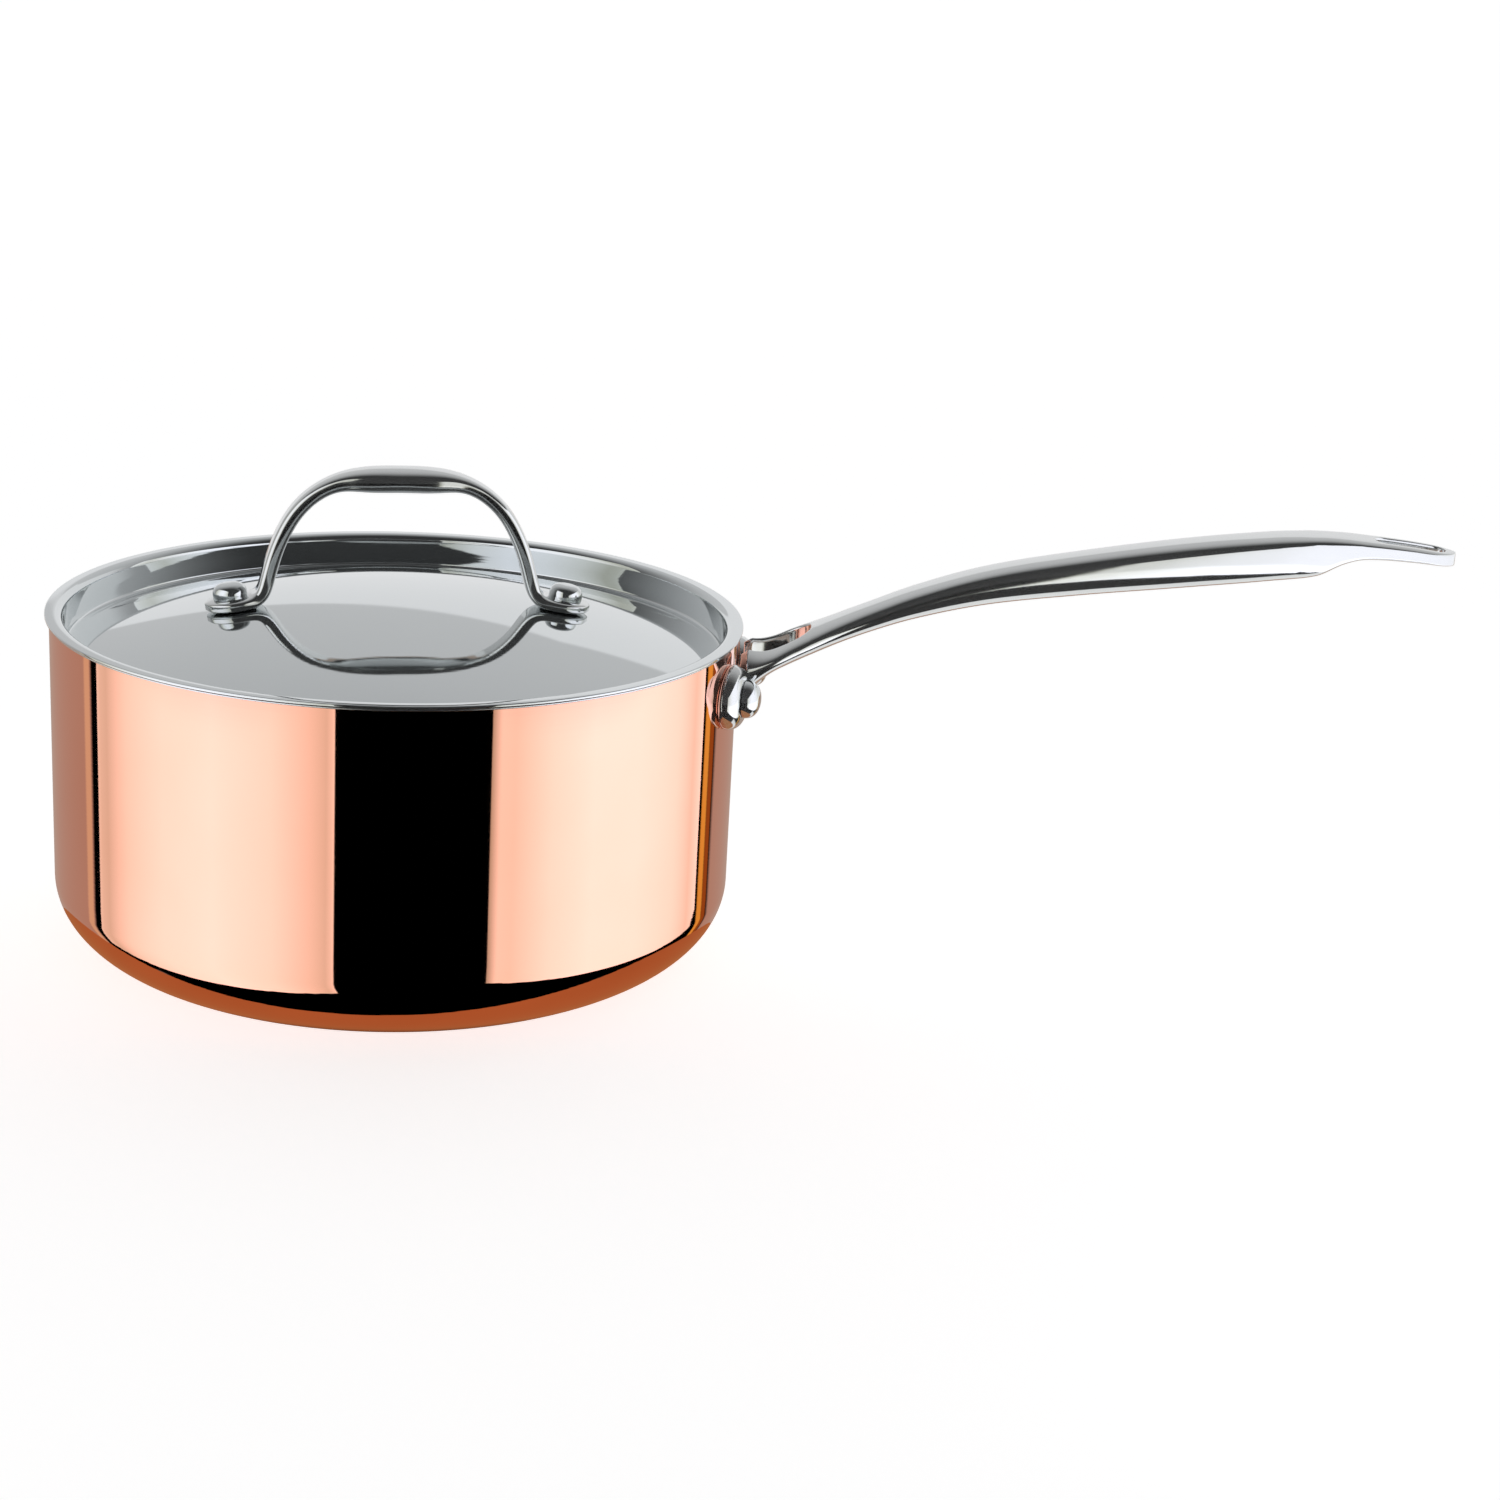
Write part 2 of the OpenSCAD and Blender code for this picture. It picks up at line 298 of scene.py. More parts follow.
def spun_satin():
    """Duller steel with clear turning lines, for the lining."""
    made, tree, shader = metal("spun_satin")
    ring, height = round_and_height(tree)
    lines = noise(vector(tree, ring, 0.0, height), 1800, 3, 0.7)
    clouds = noise(along(tree), 22, 3, 0.55)
    feed(tree, shader, "Base Color", lines.mix((0.76, 0.765, 0.77), (0.66, 0.665, 0.67)))
    feed(tree, shader, "Roughness", 0.16 + lines * 0.12 + clouds * 0.05)
    feed(tree, shader, "Normal", bump(tree, lines, 0.25, 0.0002))
    return made


def tumbled_rivet():
    """Steel with small dimples, for the rivet heads."""
    made, tree, shader = metal("tumbled_rivet", 0.93)
    dimple = noise(along(tree), 420, 2, 0.5)
    feed(tree, shader, "Base Color", dimple.mix((0.755, 0.785, 0.792), (0.68, 0.708, 0.715)))
    feed(tree, shader, "Roughness", 0.07 + dimple * 0.06)
    feed(tree, shader, "Normal", bump(tree, dimple, 0.1, 0.0003))
    return made


casting, sheet = cast_polish(), sheet_polish()
satin, rivet_metal = spun_satin(), tumbled_rivet()
print("steel finishes:", casting.name, sheet.name, satin.name, rivet_metal.name)

# %% [markdown]
# Every new piece is a grid of points: two numbers go in and a point comes out.
# One function names the corners of each face, and another turns the grid into
# a closed mesh with no stray points and with its faces turned outwards.

# %% Grids into meshes
MERGE = 1e-6
SHARP = math.radians(50)


def grid_faces(rows, cols, wrap_rows=False, keep=None, first=0):
    """Corner numbers of the quads between neighbours of a grid whose columns close up."""
    i, j = np.meshgrid(np.arange(rows if wrap_rows else rows - 1), np.arange(cols), indexing="ij")
    if keep is not None:
        i, j = i[keep], j[keep]
    i, j = i.ravel(), j.ravel()
    k, m = (i + 1) % rows, (j + 1) % cols
    return first + np.stack([i * cols + j, k * cols + j, k * cols + m, i * cols + m], 1)


def closed_up(name, points, faces):
    """A mesh in metres whose meeting points are merged, whose flat faces are dropped and
    whose faces point outwards, and the number of its open edges."""
    mesh = bpy.data.meshes.new(name)
    mesh.from_pydata((np.asarray(points) * MM).tolist(), [], [list(map(int, f)) for f in faces])
    work = bmesh.new()
    work.from_mesh(mesh)
    bmesh.ops.remove_doubles(work, verts=work.verts, dist=MERGE)
    bmesh.ops.dissolve_degenerate(work, edges=work.edges, dist=MERGE * 0.5)
    bmesh.ops.recalc_face_normals(work, faces=work.faces)
    open_edges = sum(1 for e in work.edges if not e.is_manifold)
    work.to_mesh(mesh)
    work.free()
    return mesh, open_edges


def smooth_shaded(mesh, open_edges):
    """Shades every face smoothly and reports the mesh."""
    mesh.polygons.foreach_set("use_smooth", np.ones(len(mesh.polygons), bool))
    mesh.update()
    print(f"{mesh.name}: {len(mesh.vertices)} points, {len(mesh.polygons)} faces, "
          f"{open_edges} open edges")
    return mesh


def close_mesh(name, points, faces):
    """One closed shell, smooth but for the edges that turn sharply."""
    mesh, open_edges = closed_up(name, points, faces)
    smooth_shaded(mesh, open_edges).set_sharp_from_angle(angle=SHARP)
    return mesh


def add_piece(name, mesh, finish, body, node):
    """Puts the mesh in the scene, gives it its finish, hangs it on its body and hides the CAD node it
    stands for.
    """
    piece = bpy.data.objects.new(name, mesh)
    bpy.context.scene.collection.objects.link(piece)
    mesh.materials.append(finish)
    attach(piece, body)
    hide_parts(node)
    return piece


# %% [markdown]
# Outlines are drawn as a few corners with a radius each, as on a workshop
# drawing. The arcs are worked out here, and a spun piece is such an outline
# carried once round the pan's axis.

# %% Outlines and spinning
def rounded(corners, radii, arc=8, step=6.0):
    """A drawn outline with an arc of its own radius at each corner, and long sides cut in steps."""
    p = np.asarray(corners, float)
    out = [p[:1]]
    for i in range(1, len(p) - 1):
        a, b = p[i - 1] - p[i], p[i + 1] - p[i]
        la, lb = np.linalg.norm(a), np.linalg.norm(b)
        a, b = a / la, b / lb
        half = 0.5 * math.acos(float(np.clip(a @ b, -1, 1)))
        if radii[i] <= 0 or half > math.pi / 2 - 1e-3:
            out.append(p[i:i + 1])
            continue
        cut = min(radii[i] / math.tan(half), 0.49 * la, 0.49 * lb)
        r = cut * math.tan(half)
        mid = (a + b) / np.linalg.norm(a + b)
        centre = p[i] + mid * r / math.sin(half)
        start, end = p[i] + a * cut - centre, p[i] + b * cut - centre
        turn = math.atan2(start[0] * end[1] - start[1] * end[0], start @ end)
        w = np.linspace(0, turn, arc + 1)[:, None]
        side = np.array([-start[1], start[0]])
        out.append(centre + np.cos(w) * start + np.sin(w) * side)
    out.append(p[-1:])
    line = np.concatenate(out)
    gaps = np.linalg.norm(np.diff(line, axis=0), axis=1)
    line = line[np.concatenate([[True], gaps > 1e-6])]
    pieces = []
    for a, b in zip(line[:-1], line[1:]):
        n = max(1, int(np.ceil(np.linalg.norm(b - a) / step)))
        pieces.append(a + (b - a) * np.linspace(0, 1, n, endpoint=False)[:, None])
    return np.concatenate(pieces + [line[-1:]])


def spin(profile, steps=360):
    """Points of a profile (distance from the axis, height) carried once round the axis."""
    angle = np.linspace(0, 2 * np.pi, steps, endpoint=False)
    r, z = profile[:, 0:1], profile[:, 1:2]
    return np.stack([r * np.cos(angle), r * np.sin(angle), z + 0 * angle], 2)


def spun_mesh(name, profile, steps=360):
    """A closed solid of revolution: its profile ends on the axis twice, or is a closed loop."""
    grid = spin(profile, steps)
    on_axis = abs(profile[0, 0]) < 1e-6 and abs(profile[-1, 0]) < 1e-6
    faces = grid_faces(len(profile), steps, wrap_rows=not on_axis)
    return close_mesh(name, grid.reshape(-1, 3), faces)

# %% [markdown]
# The pan's shell is spun from sheet, so its outline is one profile about one
# axis. The corner between wall and base is a quarter of an ellipse, wider than
# it is high, and the lining follows it at a constant thickness.

# %% Copper shell and steel lining
def pan_outline(inset, top, steps=36):
    """Base, elliptical corner and straight wall, all moved inwards by inset."""
    a = np.linspace(0, np.pi / 2, steps)
    corner = np.stack([PAN_R - CORNER_W + (CORNER_W - inset) * np.sin(a),
                       CORNER_H - (CORNER_H - inset) * np.cos(a)], 1)
    base = np.stack([np.linspace(0, corner[0, 0], 14, endpoint=False), np.full(14, inset)], 1)
    wall = np.stack([np.full(16, PAN_R - inset), np.linspace(CORNER_H, top, 17)[1:]], 1)
    return np.concatenate([base, corner, wall])


outer = pan_outline(0.0, PAN_H - LIP_T)
middle = pan_outline(COPPER_T, PAN_H - LIP_T)
inner = pan_outline(COPPER_T + LINER_T, PAN_H - LIP_DOWN)
wall_profile = np.concatenate([outer, middle[::-1]])
add_piece("copper_wall", spun_mesh("copper_wall", wall_profile, 384), copper,
          "pan", "copper_shell")

lip = rounded([(PAN_R - COPPER_T, PAN_H - LIP_T), (PAN_R + LIP_LAP, PAN_H - LIP_T),
               (PAN_R + LIP_LAP, PAN_H), (IN_R, PAN_H), (IN_R, PAN_H - LIP_DOWN)],
              [0, 0.2, 0.2, 0.5, 0], 5)
lining_profile = np.concatenate([middle[:-1], lip[:-1], inner[::-1]])
add_piece("steel_lining", spun_mesh("steel_lining", lining_profile, 384), satin,
          "pan", "steel_liner")

# %% [markdown]
# The lid is one pressed sheet. Its flange rests on the rim, a short wall drops
# inside the pan, and from the groove at its foot the dome rises. Soft bends
# matter here: each one catches a bright ring of light.

# %% Lid
PLUG_GAP, GROOVE_H, GROOVE_W = 0.6, 10.0, 1.1
PLUG_R = IN_R - PLUG_GAP
GROOVE_Z = LID_Z - GROOVE_H
GROOVE_R = PLUG_R - GROOVE_W - LID_T
DOME_R, DOME_H = GROOVE_R - 1.4, 13.4
CAP_R = (DOME_R ** 2 + DOME_H ** 2) / (2 * DOME_H)
CAP_Z = GROOVE_Z + DOME_H - CAP_R


def dome_line(inset, steps=40):
    """Arc of a sphere's section from the lid's centre to the groove."""
    a = np.linspace(0, math.asin(DOME_R / CAP_R), steps)
    return np.stack([(CAP_R - inset) * np.sin(a), CAP_Z + (CAP_R - inset) * np.cos(a)], 1)


def lid_edge(inset):
    """Groove, plug wall and flange of one face of the sheet."""
    d = dome_line(inset)
    wall = PLUG_R - LID_T + inset
    low, top = GROOVE_Z - inset, LID_Z - inset
    line = rounded([tuple(d[-2]), (DOME_R + 0.2, low + 0.05), (GROOVE_R + 0.8 + inset * 0.8, low),
                    (wall, top), (FLANGE_R, top)],
                   [0, 1.2, 0.9 + inset, 2.2 - inset, 0], 12)
    return np.concatenate([d[:-2], line])


face_up, face_down = lid_edge(0.0), lid_edge(LID_T)
rim = rounded([tuple(face_up[-2]), (FLANGE_R, LID_Z), (FLANGE_R, LID_Z - LID_T),
               tuple(face_down[-2])], [0, 0.35, 0.25, 0], 6)
lid_profile = np.concatenate([face_up[:-2], rim, face_down[:-2][::-1]])
add_piece("lid_sheet", spun_mesh("lid_sheet", lid_profile, 384), sheet, "lid", "lid")

# %% [markdown]
# The long handle is a casting: a grip whose section is a rounded box, split at
# the pan into two legs with an open fork between them, and thinned at the far
# end to a tongue with a hanging slot. One formula makes all of it. At every
# distance from the wall there is a height, a thickness, an outer half width and
# an inner half width, which is zero wherever the handle is solid. Each half of
# the handle is the surface between the two widths, and the halves meet on the
# middle plane.

# %% Handle stations
GRIP_LINE = np.array([
    (0.00, 0.118, 7.2), (0.06, 0.255, 7.8), (0.12, 0.363, 7.8), (0.18, 0.466, 8.0),
    (0.25, 0.579, 8.9), (0.35, 0.706, 10.4), (0.475, 0.814, 12.0), (0.625, 0.920, 13.4),
    (0.75, 0.985, 13.1), (0.808, 1.00, 11.6), (0.842, 1.00, 7.6), (0.87, 0.995, 5.4),
    (0.935, 0.978, 4.3), (1.00, 0.951, 3.7)])
GRIP_W, FORK_W, FORK_L, LEG_W = 17.0, 15.2, 21.3, 6.6
HANG_L, HANG_W = 20.0, 6.5


def smooth(table, column, x):
    """Cubic curve through a column of the table, with its neighbours' slope at each station."""
    t, v = table[:, 0], table[:, column]
    slope = np.gradient(v, t)
    slope[1:-1] = (v[2:] - v[:-2]) / (t[2:] - t[:-2])
    i = np.clip(np.searchsorted(t, x) - 1, 0, len(t) - 2)
    w = t[i + 1] - t[i]
    u = (x - t[i]) / w
    return ((2 * u ** 3 - 3 * u ** 2 + 1) * v[i] + (u ** 3 - 2 * u ** 2 + u) * w * slope[i]
            + (3 * u ** 2 - 2 * u ** 3) * v[i + 1] + (u ** 3 - u ** 2) * w * slope[i + 1])


HALF = FORK_W / 2 + LEG_W
TIP_R = GRIP_W * 0.43
GRIP_WIDTH = np.array([
    (0.00, HALF), (0.055, HALF - 0.2), (0.09, HALF * 0.86), (0.14, GRIP_W * 0.56),
    (0.20, GRIP_W / 2), (0.75, GRIP_W / 2), (0.84, GRIP_W * 0.46), (0.90, GRIP_W * 0.44),
    (1 - TIP_R / GRIP_LEN, TIP_R), (1.0, TIP_R)])


def slot_half(d, near, far, half):
    """Half width of a slot with round ends between two distances from the wall."""
    into = np.minimum(d - near, far - d)
    into = np.clip(into, 0, half)
    return np.sqrt(np.clip(half ** 2 - (half - into) ** 2, 0, None))

# %% [markdown]
# The rows of the handle's grid are distances from the wall, and each row goes
# once round one half of the section. Rows crowd together where a slot or the
# tip bends quickly, and every column is worked out for all rows at once.

# %% Handle grid
OUTSIDE_COLS = 49


def handle_stations():
    """Distances from the wall, packed closely where a slot or the tip curves fast."""
    def ends(a, b, n):
        return a + (b - a) * (1 - np.cos(np.linspace(0, np.pi, n))) / 2
    hang_far = GRIP_LEN - 2.8
    hang_near = hang_far - HANG_L
    end = HANG_W / 2
    parts = [np.linspace(1.5, 13.0, 40), FORK_L - 8.3 * (np.cos(np.linspace(0, np.pi / 2, 22))),
             np.linspace(FORK_L, 150, 70), np.linspace(150, hang_near, 44),
             hang_near + end * (1 - np.cos(np.linspace(0, np.pi / 2, 16))),
             np.linspace(hang_near + end, hang_far - end, 12),
             hang_far - end * (1 - np.cos(np.linspace(0, np.pi / 2, 16)))[::-1],
             ends(hang_far, GRIP_LEN, 16)]
    d = np.unique(np.round(np.concatenate(parts), 5))
    return d, hang_near, hang_far


def handle_half():
    """Grid of one half: rows are distances from the wall, columns go over the top edge,
    round the outside, under, and back up the slot's wall."""
    d, hang_near, hang_far = handle_stations()
    u = d / GRIP_LEN
    top = RIVET_Z + GRIP_RISE * smooth(GRIP_LINE, 1, u)
    thick = smooth(GRIP_LINE, 2, u)
    half = smooth(GRIP_WIDTH, 1, u)
    tip = np.clip((d - (GRIP_LEN - TIP_R)) / TIP_R, 0, 1)
    half = half * np.sqrt(np.clip(1 - tip ** 2, 0, 1))
    fork = np.where(d < FORK_L, slot_half(d, -50, FORK_L, FORK_W / 2), 0)
    hang = slot_half(d, hang_near, hang_far, HANG_W / 2)
    inside = np.minimum(np.maximum(fork, hang), half * 0.97)
    flare = np.clip(1 - (d - PAD_T + 1.5) / 9.0, 0, 1) ** 2
    inside = inside - 1.5 * flare * (fork > 0)
    high = thick / 2 + 3.6 * flare
    middle = top - thick / 2
    n = np.interp(u, [0.0, 0.12, 0.3, 0.5, 0.65, 0.78, 0.86, 1.0],
                  [2.2, 2.2, 2.3, 2.3, 2.4, 2.7, 4.2, 4.2])
    crown = np.interp(u, [0.0, 0.12, 0.3, 0.8, 0.87, 1.0], [0.0, 0.1, 0.32, 0.34, 0.0, 0.0])
    soft = np.minimum(0.7, inside * 0.35)
    start = np.clip((inside + soft) / np.maximum(half, 1e-6), 0, 1) ** (n / 2)
    start = np.arccos(np.clip(start, 0, 1))
    sweep = np.linspace(1, -1, OUTSIDE_COLS)[None, :] * start[:, None]
    y = half[:, None] * np.abs(np.cos(sweep)) ** (2 / n[:, None])
    z = high[:, None] * np.sign(sweep) * np.abs(np.sin(sweep)) ** (2 / n[:, None])
    edge = z[:, :1]
    bend = np.linspace(0, np.pi / 2, 6)[None, 1:]
    down_y = inside[:, None] + soft[:, None] * (1 - np.sin(bend))
    down_z = -edge + soft[:, None] * (1 - np.cos(bend))
    wall_z = np.linspace(-1, 1, 9)[None, 1:-1] * (edge - soft[:, None])
    wall_y = np.repeat(inside[:, None], wall_z.shape[1], 1)
    y = np.concatenate([y, down_y, wall_y, down_y[:, ::-1]], 1)
    z = np.concatenate([z, down_z, wall_z, -down_z[:, ::-1]], 1)
    x = np.repeat((PAN_R + d)[:, None], y.shape[1], 1)
    z = z + (crown * high)[:, None] * (1 - (z / high[:, None]) ** 2)
    grid = np.stack([x, y, middle[:, None] + z], 2)
    return grid, inside


def handle_shell():
    """Both halves, mirrored across the middle plane, with the two legs' ends closed."""
    grid, inside = handle_half()
    rows, cols = grid.shape[:2]
    is_open = np.maximum(inside[:-1], inside[1:]) > 1e-6
    keep = np.zeros((rows - 1, cols), bool)
    keep[:, :OUTSIDE_COLS - 1] = True
    keep[is_open, :] = True
    cap = grid[0].mean(0)
    points, faces = [], []
    first = 0
    for side in (1, -1):
        flip = np.array([1, side, 1])
        pts = np.concatenate([(grid * flip).reshape(-1, 3), (cap * flip)[None]])
        f = grid_faces(rows, cols, keep=keep, first=first)
        j = np.arange(cols)
        end = np.stack([first + j, first + (j + 1) % cols, np.full(cols, first + rows * cols)], 1)
        points.append(pts)
        faces += f.tolist() + end.tolist()
        first += len(pts)
    return np.concatenate(points), faces


handle_points, handle_faces = handle_shell()
print("handle shell:", handle_points.shape)

# %% [markdown]
# Each pad is a thick oval plate bent to the wall. It is drawn flat, with its
# front edge rolled over, and then wrapped: sideways distance becomes an angle
# round the pan and thickness becomes distance from the axis.

# %% Handle pads
def pad_shell(turn, steps=96):
    """Rings of a long oval from its centre out over the front, round the edge and back."""
    a = np.linspace(0, 2 * np.pi, steps, endpoint=False)
    rim_w, rim_h, roll = PAD_W / 2, PAD_H / 2, 4.3
    w = np.linspace(0, np.pi / 2, 13)[1:]
    flat = np.linspace(0, 1, 10)
    ring_w = np.concatenate([flat * (rim_w - roll), rim_w - roll + roll * np.sin(w),
                             [rim_w, rim_w - 0.3, rim_w - 0.4, 0]])
    ring_h = np.concatenate([flat * (rim_h - roll), rim_h - roll + roll * np.sin(w),
                             [rim_h, rim_h - 0.3, rim_h - 0.4, 0]])
    depth = np.concatenate([np.full(10, PAD_T), PAD_T - roll * (1 - np.cos(w)),
                            [0.5, 0.15, 0.05, 0.05]])
    n = 2.0
    side = np.sign(np.cos(a)) * np.abs(np.cos(a)) ** (2 / n)
    rise = np.sign(np.sin(a)) * np.abs(np.sin(a)) ** (2 / n)
    s = ring_w[:, None] * side
    z = RIVET_Z + ring_h[:, None] * rise
    r = PAN_R + depth[:, None]
    t = math.radians(turn) + s / PAN_R
    grid = np.stack([r * np.cos(t), r * np.sin(t), z], 2)
    return grid.reshape(-1, 3), grid_faces(len(ring_w), steps)


# %% [markdown]
# The grip and its two pads are cast in one, but as surfaces they are three
# closed shells that pass into each other. Each is closed by itself and then
# they share a mesh.

# %% Handle casting
def shells_mesh(name, *shells):
    """Closes each shell by itself and puts them all in one mesh."""
    work, total = bmesh.new(), 0
    for points, faces in shells:
        part, open_edges = closed_up(name + "_part", points, faces)
        total += open_edges
        work.from_mesh(part)
        bpy.data.meshes.remove(part)
    mesh = bpy.data.meshes.new(name)
    work.to_mesh(mesh)
    work.free()
    return smooth_shaded(mesh, total)


handle_mesh = shells_mesh("handle_casting", (handle_points, handle_faces),
                          pad_shell(PAD_TURN), pad_shell(-PAD_TURN))
add_piece("handle_casting", handle_mesh, casting, "pan", "long_handle")

# %% [markdown]
# Rivets are solids of revolution too: a low dome, a shank and an inner head.
# The profile is spun about its own axis and then laid along the hole.

# %% Rivets
def rivet_points(profile, place, steps=64):
    """A rivet's profile (radius, distance along its axis) spun and laid in place."""
    grid = spin(profile, steps).reshape(-1, 3)
    m = np.array(place)
    return grid @ m[:3, :3].T + m[:3, 3], grid_faces(len(profile), steps)


def head_line(r, base, height, crown=2.3, steps=18):
    """Quarter of a rounded dome from the rivet's top centre down to its seat."""
    a = np.linspace(0, np.pi / 2, steps)
    return np.stack([r * np.sin(a) ** (2 / crown), base + height * np.cos(a) ** (2 / crown)], 1)


def wall_place(turn):
    """Where a handle rivet's axis starts: on the pan's axis, pointing out through a pad."""
    lay = Matrix.Rotation(math.radians(turn), 4, "Z") @ Matrix.Translation((0, 0, RIVET_Z))
    return lay @ Matrix.Rotation(math.radians(90), 4, "Y")


def handle_rivet_profile(head_r=5.5, inner_r=4.8):
    """Outer head, shank and inner head; the inner one clears the curve of the lining."""
    out = PAN_R + PAD_T + SEAT_GAP
    inn = math.sqrt(IN_R ** 2 - inner_r ** 2) - SEAT_GAP
    top = head_line(head_r, out, 4.4, 2.35)
    low = head_line(inner_r, 0.0, 1.8, 2.6)
    low = np.stack([low[:, 0], inn - low[:, 1]], 1)[::-1]
    return np.concatenate([top, [(SHANK_R, out), (SHANK_R, inn)], low])


for name, node, turn in (("pan_rivet_front", "handle_rivet_front", -PAD_TURN),
                         ("pan_rivet_back", "handle_rivet_back", PAD_TURN)):
    pts, fcs = rivet_points(handle_rivet_profile(), wall_place(turn))
    add_piece(name, close_mesh(name, pts, fcs), rivet_metal, "pan", node)

# %% [markdown]
# The lid's handle is one casting as well. A path runs from the tip of one foot
# along the lid, bends up into a leg, over the arch and down again. A rounded
# section is carried along it, wide and flat in the feet, slim in the legs and
# full in the bar where fingers hold it.

# %% Lid handle path
STAND_R = LOOP_SPAN / 2
STAND_Z = CAP_Z + math.sqrt(CAP_R ** 2 - STAND_R ** 2)
STAND_TILT = math.asin(STAND_R / CAP_R)
LOOP_H, BAR_T, BAR_W, FOOT_T, FOOT_W, LEG_T = 41.8, 7.0, 14.0, 3.4, 15.0, 4.2
ARCH_A, ARCH_B = STAND_R - FOOT_W / 2 - 1.0, LOOP_H + 4.0
FOOT_END = FOOT_W / 2


def arch_t(x):
    """Thickness of the arch at a distance x from its middle: it falls from the bar's to the
    leg's as the bell exp(-(x / a third of the stand) ** 4)."""
    return LEG_T + (BAR_T - LEG_T) * np.exp(-(x / (STAND_R * 0.33)) ** 4)


def loop_path():
    """Right half of the path from the bar's middle to the foot's tip, in (span, height)."""
    c, s = math.cos(STAND_TILT), math.sin(STAND_TILT)
    seat = FOOT_T / 2 + 0.06
    foot_tip = np.array([STAND_R + c * FOOT_END + s * seat, STAND_Z - s * FOOT_END + c * seat])
    t = np.linspace(np.pi / 2, 0.04, 80)
    arch = np.stack([ARCH_A * np.cos(t) ** 0.75, ARCH_B * np.sin(t) ** 0.75], 1)
    arch *= 1 - arch_t(arch[:, :1]) / 2 / np.linalg.norm(arch, axis=1, keepdims=True)
    arch[:, 0] += 2.2 * np.clip(1 - (arch[:, 1] - 4) / 24, 0, 1) ** 1.5
    arch += (0, STAND_Z - 4)
    x = ARCH_A - LEG_T / 2 + 2.3
    heel = np.array([x, STAND_Z + s * (STAND_R - x) + c * seat])
    line = np.concatenate([arch[arch[:, 1] > heel[1] + 7], [heel, foot_tip]])
    radii = [0] * (len(line) - 2) + [5.0, 0]
    return rounded(line, radii, 12, 1.2)


half_path = loop_path()
left = half_path[::-1] * np.array([-1, 1])
path = np.concatenate([left[:-1], half_path])
print("lid handle path:", len(path), "points")

# %% [markdown]
# The section of the lid's handle is a rounded box. Its half width, its half
# thickness and how square it is all change along the path, and a running
# average takes the corners out of those changes.

# %% Lid handle surface
def loop_shell(path, steps=56):
    """Rounded section carried along the path: half width and half thickness follow the
    distance from the nearer foot, and the ends close as half circles seen from above."""
    step = np.linalg.norm(np.diff(path, axis=0), axis=1)
    run = np.concatenate([[0], np.cumsum(step)])
    total = run[-1]
    dense = np.concatenate([FOOT_END * (1 - np.cos(np.linspace(0, np.pi / 2, 18))),
                            np.linspace(FOOT_END, total / 2, 150)[1:]])
    dense = np.concatenate([dense, (total - dense)[::-1][1:]])
    px, pz = np.interp(dense, run, path[:, 0]), np.interp(dense, run, path[:, 1])
    box = np.ones(7) / 7
    for _ in range(2):
        px[3:-3], pz[3:-3] = np.convolve(px, box, "valid"), np.convolve(pz, box, "valid")
    tx, tz = np.gradient(px, dense), np.gradient(pz, dense)
    size = np.hypot(tx, tz)
    tx, tz = tx / size, tz / size
    near = np.minimum(dense, total - dense)
    ends = np.sqrt(np.clip(1 - np.clip(1 - near / FOOT_END, 0, 1) ** 2, 0, 1))
    at = [0, FOOT_END, 9.5, 13, 16, 20, 24]
    x = np.abs(px)
    foot = near < at[-1]
    foot_w, foot_t, bar_w = FOOT_W / 2, FOOT_T / 2, BAR_W / 2
    wide = np.where(foot, np.interp(near, at, [foot_w, foot_w, 7.2, 6.2, 5.2, 4.5, 4.3]),
                    np.interp(x / STAND_R, [0, 0.12, 0.24, 0.36, 0.5, 0.65, 0.75],
                              [bar_w, 6.9, 6.2, 5.1, 4.4, 4.3, 4.3])) * ends
    thin = np.where(foot, np.interp(near, at, [foot_t, foot_t, foot_t, 1.8, 1.95, LEG_T / 2, LEG_T / 2]),
                    arch_t(x) / 2)
    thin = thin * (0.45 + 0.55 * ends)
    n = np.interp(near, at + [40, total / 2], [4.5, 4.5, 4.4, 4.2, 4.0, 4.0, 4.0, 4.0, 2.6])
    for _ in range(3):
        wide[9:-9] = np.convolve(wide[6:-6], box, "valid")
        thin[9:-9] = np.convolve(thin[6:-6], box, "valid")
        n[9:-9] = np.convolve(n[6:-6], box, "valid")
    a = np.linspace(0, 2 * np.pi, steps, endpoint=False)[None, :]
    k = 2 / n[:, None]
    across = wide[:, None] * np.sign(np.cos(a)) * np.abs(np.cos(a)) ** k
    out = thin[:, None] * np.sign(np.sin(a)) * np.abs(np.sin(a)) ** k
    x = px[:, None] - tz[:, None] * out
    z = pz[:, None] + tx[:, None] * out
    turn = math.radians(LID_TURN)
    grid = np.stack([x * math.cos(turn) - across * math.sin(turn),
                     x * math.sin(turn) + across * math.cos(turn), z], 2)
    return grid.reshape(-1, 3), grid_faces(len(dense), steps)


loop_points, loop_faces = loop_shell(path)
add_piece("lid_loop", close_mesh("lid_loop", loop_points, loop_faces), casting,
          "lid", "lid_handle")

# %% [markdown]
# The lid's rivets are drawn like the others, with a fuller head, and stand
# square to the dome where each foot rests on it.

# %% Lid rivets
def dome_place(side):
    """Where a lid rivet stands on the dome: at the foot of one side, square to the sheet."""
    turn = Matrix.Rotation(math.radians(LID_TURN), 4, "Z")
    tilt = Matrix.Rotation(side * STAND_TILT, 4, "Y")
    return turn @ Matrix.Translation((side * STAND_R, 0, STAND_Z)) @ tilt


